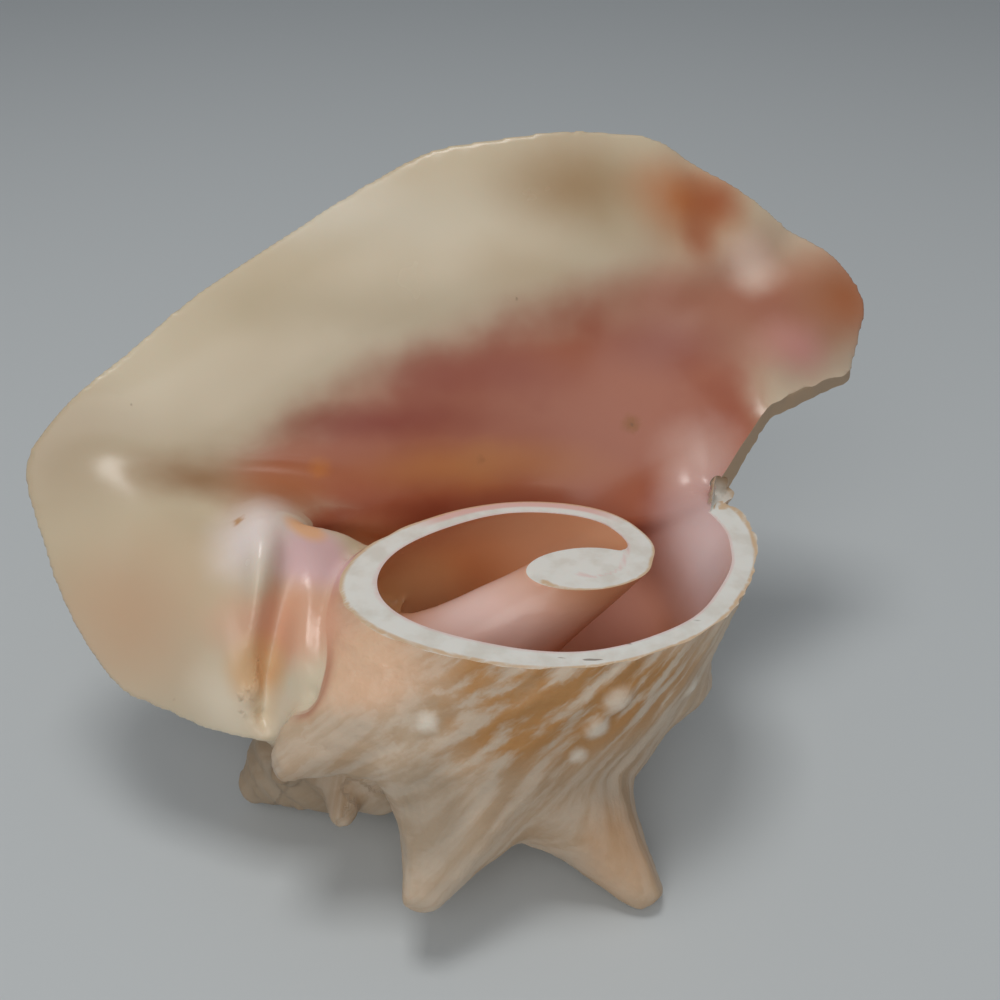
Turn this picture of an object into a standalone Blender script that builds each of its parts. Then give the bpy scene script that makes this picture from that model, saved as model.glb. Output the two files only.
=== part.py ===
"""A sawn conch shell lying on its back: body whorl cut open level, flared lip standing behind it.

Sizes are millimetres until a mesh is made, in the pose in which the shell rests. +Z is up, +X runs
from the spire to the sawn front end, and +Y runs back to the lip.
"""
import bpy
import numpy as np

NAME = "conch_shell"
MM = 0.001

# The winding axis starts at the spire tip and climbs to the sawn end.
APEX = np.array([-58.0, -30.4, 4.0])
AXIS = np.array([0.80, 0.098, 0.592])
# The level saw cut.
CUT_HEIGHT = 70.0
# Plan of what the saw took away above that level: the last corners follow the second cut, which
# runs up through the front end of the lip.
SAWN_PLAN = (
    (68.6, 14.6), (66, 6), (56, 3), (44, 7), (24, 15), (2, 14), (-16, 9), (-24.5, -1), (-29.5, -14),
    (-31.5, -30), (-31, -60), (0, -90), (90, -90), (175, 20), (175, 104.6),
)
SAW_TOP = 170.0
# Moves the finished shell so that the middle of its base is the origin.
STAND = np.array([-1.6, 1.4, 0.5])

WALL = 5.2
RIM_WALL = 2.4
# The wall thins where the lip rolls into the groove: shares of a growth line between which it does,
# share of the lip's growth by which it has, and share of the thickness lost.
ROLL_SHARES = (0.83, 0.9)
ROLL_GROWTH = 0.3
ROLL_LOSS = 0.5

# Outer wall of the body whorl by angle round the axis. Each row holds the angle, then height along
# the axis and radius at the suture, at the shoulder and at the saw cut, then the slope past the cut,
# and how far out of the way from cut to shoulder the middle of the section stands.
BODY = np.array([
    (-330, 40, 18, 48, 24, 102, 7.6, -0.1, 0.22),
    (-260, 40, 19, 50, 26, 113, 8.8, -0.1, 0.22),
    (-200, 41, 20, 52, 28, 123, 9.5, -0.2, 0.32),
    (-160, 42, 22, 53, 30, 127, 11.0, -0.2, 0.42),
    (-148, 42, 22, 53, 31, 127, 12.8, -0.3, 0.5),
    (-120, 42, 22, 54, 32, 125.4, 18.3, -0.5, 0.66),
    (-97, 42, 23, 54, 33, 118.5, 26.3, -0.5, 0.66),
    (-73, 42, 23, 53, 34, 102, 33.0, -0.3, 0.66),
    (-37, 42, 24, 51, 35, 75.4, 35.0, -0.05, 0.66),
    (6, 42, 25, 50, 36, 62.6, 35.9, 0.0, 0.66),
    (52, 43, 25, 52, 38, 78.8, 35.6, -0.05, 0.66),
    (91, 45, 26, 55, 43, 108.8, 36.5, -0.2, 0.66),
    (115, 47, 26, 59, 47, 126.8, 32.0, -0.5, 0.68),
    (153, 50, 26, 72, 51.5, 141.3, 25.5, -0.5, 0.72),
    (179, 52, 26, 77, 53.5, 146.2, 25.6, -0.4, 0.74),
    (199, 54, 27, 78, 55, 147.9, 27.7, -0.2, 0.74),
    (219, 55, 28, 78, 56, 147.9, 32.8, 0.0, 0.7),
    (234, 55, 29, 76, 55, 144.7, 37.5, 0.1, 0.66),
    (270, 50, 30, 66, 52, 117.0, 45.0, 0.1, 0.66),
    (300, 46, 30, 58, 51, 85.0, 48.0, 0.1, 0.66),
    (330, 43, 29, 52, 50, 62.0, 50.0, 0.1, 0.66),
])
# How far along the axis the wall runs on past the level cut, before the saw takes it.
SPARE = 18.0
# Shares of a section's length at the points that its curve passes, front end to suture.
BODY_SHARES = (0.0, 0.12, 0.45, 0.78, 0.86, 1.0)
# Section at which the last turn starts.
LAST_TURN = 24
# Sections between the body whorl and the lip lean round the axis: angle at the front and suture.
LEANING = ((203, 250), (212, 290), (216, 335))

# Step past the saw cut from the first point of each growth line of the lip.
PAST_CUT = np.array([9.0, -10.0, 8.0])
# Growth lines of the lip, front end to suture: share of the line, then x, y and z of its inner face.
LIP = (
    # Where the lip leaves the body whorl.
    (
        (0.12, 66, 15.5, 71), (0.2, 61, 22, 75.5), (0.3, 49, 25.5, 74),
        (0.4, 33, 27, 70), (0.5, 15.5, 26.5, 66), (0.58, -2, 24, 64),
        (0.66, -19.5, 19, 65.5), (0.72, -32, 13.5, 69), (0.77, -41, 7, 72.5),
        (0.81, -43, -9, 77.5), (0.85, -43, -19, 77), (0.9, -44, -26.5, 69),
        (0.95, -46, -33, 55.5), (1, -47, -36.5, 42),
    ),
    # The bowl of the lip.
    (
        (0.12, 76.5, 21.5, 83.5), (0.2, 69.5, 34.5, 93), (0.28, 56, 42.5, 98.5),
        (0.36, 40.5, 44, 101), (0.44, 24, 43, 102.5), (0.52, 0.5, 39, 99),
        (0.6, -24.5, 32.5, 92), (0.67, -47, 23, 82.5), (0.73, -61.5, 15, 78),
        (0.78, -63, 3.5, 77), (0.84, -57.5, -19, 77), (0.89, -53.5, -32.5, 70.5),
        (0.94, -51.5, -40.5, 61.5), (1, -50, -45, 48),
    ),
    # Half way out.
    (
        (0.12, 85, 28.5, 90.5), (0.2, 84, 45.5, 104.5), (0.28, 68.5, 53, 113.5),
        (0.36, 49, 55, 121), (0.44, 26.5, 52.5, 125), (0.52, -3.5, 47, 120.5),
        (0.6, -36, 36.5, 107.5), (0.67, -65, 21.5, 91), (0.73, -80.5, 12, 84),
        (0.78, -80, -0, 80.5), (0.84, -72.5, -21, 74), (0.89, -63.5, -35, 65),
        (0.94, -56, -43, 56), (1, -48.5, -48, 45.5),
    ),
    # Just inside the rim.
    (
        (0.12, 100, 41.5, 90.5), (0.2, 101.5, 57, 108.5), (0.28, 85, 62, 119),
        (0.36, 63, 66.5, 133), (0.44, 29, 63.5, 140.5), (0.52, -10.5, 56.5, 135.5),
        (0.6, -48.5, 41.5, 117), (0.67, -80, 23, 99.5), (0.73, -96.5, 11, 90),
        (0.78, -98, 1, 82), (0.84, -88, -19.5, 66.5), (0.89, -75.5, -34.5, 55),
        (0.94, -61.5, -44, 48), (1, -47, -49.5, 42.5),
    ),
    # The rim.
    (
        (0.12, 112, 51.5, 89.5), (0.16, 114.5, 57, 97.5), (0.2, 116, 63.5, 106.5),
        (0.235, 106, 68.5, 117), (0.26, 98.5, 71, 122.5), (0.285, 90.5, 71.5, 126.5),
        (0.32, 73, 74.5, 137.5), (0.36, 58.5, 76.5, 146.5), (0.4, 43.5, 75.5, 150.5),
        (0.44, 26.5, 72.5, 152), (0.48, 7.5, 70, 150.5), (0.52, -10.5, 67.5, 147.5),
        (0.56, -32.5, 60, 137.5), (0.6, -54.5, 50, 126.5), (0.635, -73.5, 40, 116.5),
        (0.67, -90.5, 26.5, 105.5), (0.7, -101.5, 16.5, 99), (0.73, -109.5, 9.5, 91.5),
        (0.755, -112.5, 5, 86.5), (0.78, -112, 0, 81), (0.81, -107.5, -8.5, 71),
        (0.84, -100.5, -20, 58.5), (0.865, -93.5, -28, 50), (0.89, -84.5, -35.5, 44),
        (0.92, -73.5, -40.5, 42), (0.95, -62, -45.5, 40), (0.975, -53, -49, 40),
        (1, -45, -51, 40.5),
    ),
)

# Columella and spire: height along the axis, radius.
CORE = (
    (-1.5, 0), (-0.5, 2.6), (3, 5.2), (8, 9), (16, 14), (26, 20), (34, 24), (42, 26.5), (50, 26),
    (57, 21.5), (66, 15), (75, 12.5), (85, 11), (100, 8.8), (112, 9.0), (125, 8.6), (140, 8),
)
WHORL_FACTOR = 1.7

# Spines of the body whorl: angle and height of the foot, half-widths of the foot round and along the
# axis, then angle, height and radius of the tip.
BODY_SPINES = (
    (56, 49, 16, 12, 57, 34, 41.5),
    (111, 58, 18, 15, 109, 42.5, 57),
    (143, 76, 20, 17, 146, 79.5, 77.8),
    (214, 80, 22, 18, 220, 84, 80.7),
    (170, 112, 16, 13, 170, 116, 47.5),
)
# Share of a foot's width that its tip keeps, and how hollow the flanks are.
BLUNT = 0.22
SWEEP = 1.6
# Spines of the spire: angle, height and radius of the root, half-widths there, then angle, height
# and radius of the tip and the half-width there.
SPIRE_SPINES = (
    (95, 33, 14, 10, 8, 97, 31, 31, 2.0),
    (62, 24, 12, 8, 7, 62, 21, 22, 1.8),
    (150, 38, 17, 9, 7, 152, 37, 32, 2.2),
    (205, 36, 16, 9, 7, 207, 35, 31, 2.2),
    (262, 32, 14, 8, 7, 264, 31, 28, 1.9),
    (318, 28, 12, 7, 6, 320, 27, 25, 1.7),
    (10, 25, 10, 6, 5, 12, 23, 21, 1.5),
    (110, 17, 7, 5, 4, 110, 15, 15, 1.3),
    (180, 16, 7, 5, 4, 182, 14, 14.5, 1.3),
    (250, 14, 6, 4, 4, 250, 12, 12.5, 1.2),
    (40, 14, 6, 4, 4, 40, 12, 12, 1.2),
    # Root of the body spine beside the groove.
    (58, 55, 31, 9, 9, 53, 36, 39, 4.5),
)

# Glaze laid over the wall between the lip and the body whorl, with the groove that drains it: rows
# of its face from the back edge to the end of the groove, lip side first.
CALLUS = (
    # back edge
    ((-42.5, -10, 78), (-35.5, -6, 74), (-29, -4.5, 70.5), (-23.5, -2, 64.5)),
    # crest
    ((-43.5, -18.5, 77.5), (-38, -18.5, 74.5), (-33, -18.5, 70.5), (-29, -19, 65)),
    # upper groove
    ((-48, -28, 67.5), (-42.5, -28, 66.5), (-36, -33, 68), (-32, -34, 64.5)),
    # groove
    ((-51, -35, 56.5), (-45.5, -34.5, 56.5), (-38, -44, 62), (-33, -46.5, 61)),
    # groove end
    ((-52.5, -41, 47.5), (-48, -40.5, 46.5), (-41, -47, 53), (-35, -51.5, 54)),
    # outlet
    ((-49.5, -47, 41), (-46.5, -49, 40), (-43, -49.5, 42.5), (-37.5, -49.5, 49)),
)
CALLUS_DEPTH = 13.0
# Way from its back to its face.
CALLUS_WAY = np.array([-0.25, -0.45, 0.86])

GROWTH_STEPS = 240
SECTION_STEPS = 110
# Cell of the remesh, and the share of its triangles kept.
GRAIN = 1.0
COARSE = 0.03


def spline(stations, values, at, steady=False):
    """Smooth curve or surface through the values, with each slope taken from the neighbours.

    A steady one never swings past a value."""
    stations = np.asarray(stations, float)
    values = np.asarray(values, float)
    at = np.asarray(at, float)
    gaps = np.diff(stations)
    wide = gaps.reshape((-1,) + (1,) * (values.ndim - 1))
    steps = np.diff(values, axis=0) / wide
    slopes = np.empty_like(values)
    slopes[0] = steps[0]
    slopes[-1] = steps[-1]
    share = wide[:-1] / (wide[:-1] + wide[1:])
    slopes[1:-1] = steps[:-1] * (1 - share) + steps[1:] * share
    if steady:
        least = 3 * np.minimum(np.abs(steps[:-1]), np.abs(steps[1:]))
        slopes[1:-1] = np.clip(slopes[1:-1], -least, least)
    i = np.clip(np.searchsorted(stations, at, side="right") - 1, 0, len(stations) - 2)
    t = np.clip((at - stations[i]) / gaps[i], 0, 1)
    more = (...,) + (None,) * (values.ndim - 1)
    gap = gaps[i][more]
    t = t[more]
    return (
        (2 * t**3 - 3 * t**2 + 1) * values[i]
        + (t**3 - 2 * t**2 + t) * gap * slopes[i]
        + (3 * t**2 - 2 * t**3) * values[i + 1]
        + (t**3 - t**2) * gap * slopes[i + 1]
    )


def shell_frame():
    """Unit vectors along the axis, up to the left of it, and out to the front of it."""
    along = AXIS / np.linalg.norm(AXIS)
    front = np.array([0.0, -1.0, 0.0])
    front = front - front @ along * along
    front = front / np.linalg.norm(front)
    return along, np.cross(front, along), front


def place(radius, angle, height):
    """Points from radius, angle in degrees and height along the axis."""
    along, left, front = shell_frame()
    turn = np.radians(angle)
    radius, turn, height = np.broadcast_arrays(radius, turn, height)
    return (
        APEX
        + height[..., None] * along
        + (radius * np.cos(turn))[..., None] * left
        + (radius * np.sin(turn))[..., None] * front
    )


def body_section(angle, share):
    """Outer face of the body whorl at an angle and a share of the section."""
    row = spline(BODY[:, 0], BODY[:, 1:], angle)
    suture_s, suture_r, shoulder_s, shoulder_r, cut_s, cut_r, slope, middle = row
    heights = (
        cut_s + SPARE, cut_s, 0.5 * (cut_s + shoulder_s), shoulder_s + 2, shoulder_s - 4, suture_s,
    )
    radii = (
        cut_r + SPARE * slope, cut_r, cut_r + middle * (shoulder_r - cut_r), shoulder_r - 0.3,
        shoulder_r - 3.5, suture_r,
    )
    point = spline(BODY_SHARES, np.transpose([radii, heights]), share, steady=True)
    return place(point[..., 0], angle, point[..., 1])


def grid_normals(grid):
    """Unit normals of a grid of points, which point away from the hollow side."""
    along = np.gradient(grid, axis=0)
    across = np.gradient(grid, axis=1)
    normal = np.cross(across, along)
    return normal / np.maximum(np.linalg.norm(normal, axis=2, keepdims=True), 1e-9)


def inner_stations(shares):
    """Inner face of the sheet at each growth station, from the columella to the rim of the lip."""
    angles = list(np.arange(-324, 200, 12.0))
    lines = [(a, a) for a in angles] + list(LEANING)
    outer = []
    for first, last in lines:
        line = []
        for share in shares:
            angle = first + (last - first) * share
            line.append(body_section(angle, share))
        outer.append(line)
    outer = np.array(outer)
    body = outer - WALL * grid_normals(outer)
    # Share 0 of a lip line lies past the saw cut, where the cutter trims it.
    lip = []
    for line in LIP:
        line = np.array(line, float)
        reach = line[0, 1:] + PAST_CUT
        knots = np.concatenate([[0.0], line[:, 0]])
        points = np.vstack([reach, line[:, 1:]])
        lip.append(spline(knots, points, shares))
    return np.concatenate([body, np.array(lip)])


def sheet_faces(grid_inner, grid_outer):
    """One closed mesh from an inner and an outer grid of the same size."""
    rows, columns = grid_inner.shape[:2]
    points = np.concatenate([grid_inner.reshape(-1, 3), grid_outer.reshape(-1, 3)])
    count = rows * columns

    def inner(i, j):
        return i * columns + j

    def outer(i, j):
        return count + i * columns + j

    faces = []
    for i in range(rows - 1):
        for j in range(columns - 1):
            faces.append((inner(i, j), inner(i + 1, j), inner(i + 1, j + 1), inner(i, j + 1)))
            faces.append((outer(i, j), outer(i, j + 1), outer(i + 1, j + 1), outer(i + 1, j)))
    for i in range(rows - 1):
        faces.append((inner(i + 1, 0), inner(i, 0), outer(i, 0), outer(i + 1, 0)))
        last = columns - 1
        faces.append((inner(i, last), inner(i + 1, last), outer(i + 1, last), outer(i, last)))
    for j in range(columns - 1):
        faces.append((inner(0, j), inner(0, j + 1), outer(0, j + 1), outer(0, j)))
        last = rows - 1
        faces.append((inner(last, j + 1), inner(last, j), outer(last, j), outer(last, j + 1)))
    return points, faces


def thinned(out, shares):
    """Share of the wall's thickness left: it thins where the lip rolls into the groove."""
    first, last = ROLL_SHARES
    rolled = np.clip((shares - first) / (last - first), 0, 1) * np.clip(out / ROLL_GROWTH, 0, 1)
    return 1 - ROLL_LOSS * rolled


def sheet():
    """The wound wall: from the columella round the body whorl and out to the rim of the lip."""
    shares = np.linspace(0, 1, SECTION_STEPS)
    stations = inner_stations(shares)
    gaps = np.linalg.norm(np.diff(stations[:, len(shares) // 2], axis=0), axis=1)
    length = np.concatenate([[0.0], np.cumsum(gaps)])
    at = np.linspace(0, length[-1], GROWTH_STEPS)
    inner = spline(length, stations, at)
    lip_start = length[-len(LIP)]
    out = np.clip((at - lip_start) / (length[-1] - lip_start), 0, 1)
    wall = (WALL + (RIM_WALL - WALL) * out**2)[:, None] * thinned(out[:, None], shares)
    outer = inner + wall[..., None] * grid_normals(inner)
    spined = (at > length[LAST_TURN]) & (at < lip_start)
    return sheet_faces(inner, outer + spine_lift(outer, spined))


def spine_lift(grid, spined):
    """How far the spines draw each point of the outer face out of the wall."""
    along, left, front = shell_frame()
    height = (grid - APEX) @ along
    radial = grid - APEX - height[..., None] * along
    radius = np.linalg.norm(radial, axis=2)
    angle = np.degrees(np.arctan2(radial @ front, radial @ left)) % 360
    lift = np.zeros_like(grid)
    for foot_angle, foot_height, wide, deep, tip_angle, tip_height, tip_radius in BODY_SPINES:
        around = np.radians(angle - foot_angle) * radius
        far = np.hypot(around / wide, (height - foot_height) / deep)
        far = np.where(spined[:, None], far, 9.0)
        foot = grid.reshape(-1, 3)[np.argmin(far)]
        tip = place(np.array(tip_radius), np.array(tip_angle), np.array(tip_height))
        share = np.clip((1 - far) / (1 - BLUNT), 0, 1) ** SWEEP
        lift += share[..., None] * (tip - foot)
    return lift


def callus(across=16, down=20):
    """A thick patch whose face is smooth and whose back is buried in the wall."""
    rows = np.array([spline(np.linspace(0, 1, 4), row, np.linspace(0, 1, across)) for row in CALLUS])
    face = spline(np.linspace(0, 1, len(rows)), rows, np.linspace(0, 1, down))
    back = face - CALLUS_DEPTH * CALLUS_WAY
    return sheet_faces(back, face)


def turned(rings):
    """A closed mesh from rings of equal count, with a point or a flat fan at each end."""
    rings = np.asarray(rings)
    count = rings.shape[1]
    points = list(rings.reshape(-1, 3))
    faces = []
    for i in range(len(rings) - 1):
        for j in range(count):
            k = (j + 1) % count
            faces.append((i * count + j, i * count + k, (i + 1) * count + k, (i + 1) * count + j))
    points.append(rings[0].mean(axis=0))
    points.append(rings[-1].mean(axis=0))
    start, end = len(points) - 2, len(points) - 1
    last = (len(rings) - 1) * count
    for j in range(count):
        k = (j + 1) % count
        faces.append((start, k, j))
        faces.append((end, last + j, last + k))
    return np.array(points), faces


def core(around=28, steps=26):
    """Columella and spire, with the whorls of the spire as shallow steps."""
    table = np.array(CORE, float)
    heights = np.concatenate([np.linspace(-1.2, 60, steps), np.linspace(66, 140, 12)])
    angles = np.linspace(0, 360, around, endpoint=False)
    rings = []
    for height in heights:
        radius = spline(table[:, 0], table[:, 1], height)
        rate = np.log(WHORL_FACTOR) / 360
        winding = np.log(max(height, 0.5) / 46.0) / rate - angles
        step = np.cos(np.radians(winding))
        depth = 0.07 * radius * np.clip((58 - height) / 12, 0, 1)
        rings.append(place(radius + depth * step, angles, height))
    return turned(rings)


def spine(root_angle, root_height, root_radius, wide, deep, angle, height, radius, tip, around=12):
    """A tapering spine with a flared root and a rounded tip."""
    start = place(np.array(root_radius), np.array(root_angle), np.array(root_height))
    end = place(np.array(radius), np.array(angle), np.array(height))
    along = shell_frame()[0]
    way = (end - start) / np.linalg.norm(end - start)
    side = np.cross(along, way)
    side = side / np.linalg.norm(side)
    other = np.cross(way, side)
    turn = np.radians(np.linspace(0, 360, around, endpoint=False))
    rings = []
    for share in (0.0, 0.2, 0.4, 0.6, 0.8, 0.93, 1.0):
        ease = (1 - share) ** 1.1
        half_wide = tip + (wide - tip) * ease
        half_deep = tip + (deep - tip) * ease
        if share == 1.0:
            half_wide = half_wide * 0.5
            half_deep = half_deep * 0.5
        centre = start + share * (end - start)
        rings.append(
            centre
            + half_wide * np.cos(turn)[:, None] * side
            + half_deep * np.sin(turn)[:, None] * other
        )
    return turned(rings)


def prism(plan, bottom, top):
    """A block with the plan given, from one height to another."""
    count = len(plan)
    points = [(x, y, z) for z in (bottom, top) for x, y in plan]
    faces = [tuple(range(count))[::-1], tuple(range(count, 2 * count))]
    for i in range(count):
        k = (i + 1) % count
        faces.append((i, k, count + k, count + i))
    return np.array(points, float), faces


def volume(points, faces):
    total = 0.0
    for face in faces:
        for i in range(1, len(face) - 1):
            total += points[face[0]] @ np.cross(points[face[i]], points[face[i + 1]])
    return total / 6


def add(name, solid, collection):
    points, faces = solid
    if volume(points, faces) < 0:
        faces = [tuple(face[::-1]) for face in faces]
    mesh = bpy.data.meshes.new(name)
    mesh.from_pydata([tuple(p) for p in (np.asarray(points) + STAND) * MM], [], faces)
    mesh.validate()
    made = bpy.data.objects.new(name, mesh)
    collection.objects.link(made)
    return made


def joined(solids):
    """Several closed meshes as one list of points and faces."""
    points = []
    faces = []
    for solid_points, solid_faces in solids:
        if volume(solid_points, solid_faces) < 0:
            solid_faces = [tuple(face[::-1]) for face in solid_faces]
        start = sum(len(p) for p in points)
        points.append(solid_points)
        faces.extend(tuple(start + index for index in face) for face in solid_faces)
    return np.concatenate(points), faces


for old in list(bpy.data.objects):
    bpy.data.objects.remove(old)

parts = bpy.data.collections.new(NAME)
cutters = bpy.data.collections.new(NAME + "_cutters")
bpy.context.scene.collection.children.link(parts)
bpy.context.scene.collection.children.link(cutters)

shell = add(NAME, joined([sheet(), callus(), core()] + [spine(*row) for row in SPIRE_SPINES]), parts)
# The remesh grows the overlapping pieces together, as the shell grew, and leaves one skin.
grown = shell.modifiers.new("grown_together", "REMESH")
grown.mode = "VOXEL"
grown.voxel_size = GRAIN * MM
softened = shell.modifiers.new("softened", "SMOOTH")
softened.factor = 0.5
softened.iterations = 5
coarse = shell.modifiers.new("coarse", "DECIMATE")
coarse.ratio = COARSE
saw = add("saw_cuts", prism(SAWN_PLAN, CUT_HEIGHT, SAW_TOP), cutters)
saw.hide_render = True
saw.display_type = "WIRE"
sawn = shell.modifiers.new("sawn", "BOOLEAN")
sawn.operation = "DIFFERENCE"
sawn.solver = "EXACT"
sawn.object = saw

skin = bpy.data.materials.new("shell")
skin.use_nodes = True
surface = skin.node_tree.nodes["Principled BSDF"]
surface.inputs["Base Color"].default_value = (0.72, 0.52, 0.42, 1)
surface.inputs["Roughness"].default_value = 0.35
shell.data.materials.append(skin)
for face in shell.data.polygons:
    face.use_smooth = True
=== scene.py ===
import math

import bmesh
import bpy
import numpy as np
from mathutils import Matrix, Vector, noise
from mathutils.kdtree import KDTree


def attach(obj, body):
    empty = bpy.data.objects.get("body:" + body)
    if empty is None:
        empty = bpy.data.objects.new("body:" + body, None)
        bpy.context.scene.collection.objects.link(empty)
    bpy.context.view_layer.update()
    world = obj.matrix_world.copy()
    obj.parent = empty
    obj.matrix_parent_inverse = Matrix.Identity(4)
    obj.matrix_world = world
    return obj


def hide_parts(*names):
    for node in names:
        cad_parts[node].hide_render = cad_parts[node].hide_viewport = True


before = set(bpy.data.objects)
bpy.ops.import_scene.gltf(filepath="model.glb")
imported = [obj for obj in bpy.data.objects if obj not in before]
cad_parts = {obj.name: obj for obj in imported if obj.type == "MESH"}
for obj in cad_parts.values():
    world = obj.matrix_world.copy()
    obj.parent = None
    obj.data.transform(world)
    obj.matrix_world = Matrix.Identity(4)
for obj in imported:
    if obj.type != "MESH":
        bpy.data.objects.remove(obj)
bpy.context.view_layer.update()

# The wound wall. A conch lays its shell down along the edge of its mantle, ring after ring, so the
# wall is one thick sheet of lime, rolled up round the axis and flared at the end into the lip.
# Sizes are millimetres, in the pose in which the shell lies.
MM = 0.001
# The winding axis starts at the spire tip and climbs to the sawn end.
APEX = np.array([-58.0, -30.4, 4.0])
AXIS = np.array([0.80, 0.098, 0.592])
# Moves the finished shell so that the middle of its base is the origin.
STAND = np.array([-1.6, 1.4, 0.5])
WALL = 5.2
RIM_WALL = 2.4
# The wall thins where the lip rolls into the groove: shares of a growth line between which it does,
# share of the lip's growth by which it has, and share of the thickness lost.
ROLL_SHARES = (0.83, 0.9)
ROLL_GROWTH = 0.3
ROLL_LOSS = 0.5

# Outer wall of the body whorl by angle round the axis. Each row holds the angle, then height along
# the axis and radius at the suture, at the shoulder and at the saw cut, then the slope past the cut,
# and how far out of the way from cut to shoulder the middle of the section stands.
BODY = np.array([
    (-330, 40, 18, 48, 24, 102, 7.6, -0.1, 0.22),
    (-260, 40, 19, 50, 26, 113, 8.8, -0.1, 0.22),
    (-200, 41, 20, 52, 28, 123, 9.5, -0.2, 0.32),
    (-160, 42, 22, 53, 30, 127, 11.0, -0.2, 0.42),
    (-148, 42, 22, 53, 31, 127, 12.8, -0.3, 0.5),
    (-120, 42, 22, 54, 32, 125.4, 18.3, -0.5, 0.66),
    (-97, 42, 23, 54, 33, 118.5, 26.3, -0.5, 0.66),
    (-73, 42, 23, 53, 34, 102, 33.0, -0.3, 0.66),
    (-37, 42, 24, 51, 35, 75.4, 35.0, -0.05, 0.66),
    (6, 42, 25, 50, 36, 62.6, 35.9, 0.0, 0.66),
    (52, 43, 25, 52, 38, 78.8, 35.6, -0.05, 0.66),
    (91, 45, 26, 55, 43, 108.8, 36.5, -0.2, 0.66),
    (115, 47, 26, 59, 47, 126.8, 32.0, -0.5, 0.68),
    (153, 50, 26, 72, 51.5, 141.3, 25.5, -0.5, 0.72),
    (179, 52, 26, 77, 53.5, 146.2, 25.6, -0.4, 0.74),
    (199, 54, 27, 78, 55, 147.9, 27.7, -0.2, 0.74),
    (219, 55, 28, 78, 56, 147.9, 32.8, 0.0, 0.7),
    (234, 55, 29, 76, 55, 144.7, 37.5, 0.1, 0.66),
    (270, 50, 30, 66, 52, 117.0, 45.0, 0.1, 0.66),
    (300, 46, 30, 58, 51, 85.0, 48.0, 0.1, 0.66),
    (330, 43, 29, 52, 50, 62.0, 50.0, 0.1, 0.66),
])
# How far along the axis the wall runs on past the level cut, before the saw takes it.
SPARE = 18.0
# Shares of a section's length at the points that its curve passes, front end to suture.
BODY_SHARES = (0.0, 0.12, 0.45, 0.78, 0.86, 1.0)
# Section at which the last turn starts.
LAST_TURN = 24
# Sections between the body whorl and the lip lean round the axis: angle at the front and suture.
LEANING = ((203, 250), (212, 290), (216, 335))

# Step past the saw cut from the first point of each growth line of the lip.
PAST_CUT = np.array([9.0, -10.0, 8.0])
# Growth lines of the lip, front end to suture: share of the line, then x, y and z of its inner face.
LIP = (
    # Where the lip leaves the body whorl.
    (
        (0.12, 66, 15.5, 71), (0.2, 61, 22, 75.5), (0.3, 49, 25.5, 74),
        (0.4, 33, 27, 70), (0.5, 15.5, 26.5, 66), (0.58, -2, 24, 64),
        (0.66, -19.5, 19, 65.5), (0.72, -32, 13.5, 69), (0.77, -41, 7, 72.5),
        (0.81, -43, -9, 77.5), (0.85, -43, -19, 77), (0.9, -44, -26.5, 69),
        (0.95, -46, -33, 55.5), (1, -47, -36.5, 42),
    ),
    # The bowl of the lip.
    (
        (0.12, 76.5, 21.5, 83.5), (0.2, 69.5, 34.5, 93), (0.28, 56, 42.5, 98.5),
        (0.36, 40.5, 44, 101), (0.44, 24, 43, 102.5), (0.52, 0.5, 39, 99),
        (0.6, -24.5, 32.5, 92), (0.67, -47, 23, 82.5), (0.73, -61.5, 15, 78),
        (0.78, -63, 3.5, 77), (0.84, -57.5, -19, 77), (0.89, -53.5, -32.5, 70.5),
        (0.94, -51.5, -40.5, 61.5), (1, -50, -45, 48),
    ),
    # Half way out.
    (
        (0.12, 85, 28.5, 90.5), (0.2, 84, 45.5, 104.5), (0.28, 68.5, 53, 113.5),
        (0.36, 49, 55, 121), (0.44, 26.5, 52.5, 125), (0.52, -3.5, 47, 120.5),
        (0.6, -36, 36.5, 107.5), (0.67, -65, 21.5, 91), (0.73, -80.5, 12, 84),
        (0.78, -80, -0, 80.5), (0.84, -72.5, -21, 74), (0.89, -63.5, -35, 65),
        (0.94, -56, -43, 56), (1, -48.5, -48, 45.5),
    ),
    # Just inside the rim.
    (
        (0.12, 100, 41.5, 90.5), (0.2, 101.5, 57, 108.5), (0.28, 85, 62, 119),
        (0.36, 63, 66.5, 133), (0.44, 29, 63.5, 140.5), (0.52, -10.5, 56.5, 135.5),
        (0.6, -48.5, 41.5, 117), (0.67, -80, 23, 99.5), (0.73, -96.5, 11, 90),
        (0.78, -98, 1, 82), (0.84, -88, -19.5, 66.5), (0.89, -75.5, -34.5, 55),
        (0.94, -61.5, -44, 48), (1, -47, -49.5, 42.5),
    ),
    # The rim.
    (
        (0.12, 112, 51.5, 89.5), (0.16, 114.5, 57, 97.5), (0.2, 116, 63.5, 106.5),
        (0.235, 106, 68.5, 117), (0.26, 98.5, 71, 122.5), (0.285, 90.5, 71.5, 126.5),
        (0.32, 73, 74.5, 137.5), (0.36, 58.5, 76.5, 146.5), (0.4, 43.5, 75.5, 150.5),
        (0.44, 26.5, 72.5, 152), (0.48, 7.5, 70, 150.5), (0.52, -10.5, 67.5, 147.5),
        (0.56, -32.5, 60, 137.5), (0.6, -54.5, 50, 126.5), (0.635, -73.5, 40, 116.5),
        (0.67, -90.5, 26.5, 105.5), (0.7, -101.5, 16.5, 99), (0.73, -109.5, 9.5, 91.5),
        (0.755, -112.5, 5, 86.5), (0.78, -112, 0, 81), (0.81, -107.5, -8.5, 71),
        (0.84, -100.5, -20, 58.5), (0.865, -93.5, -28, 50), (0.89, -84.5, -35.5, 44),
        (0.92, -73.5, -40.5, 42), (0.95, -62, -45.5, 40), (0.975, -53, -49, 40),
        (1, -45, -51, 40.5),
    ),
)
GROWTH_STEPS = 480
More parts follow.
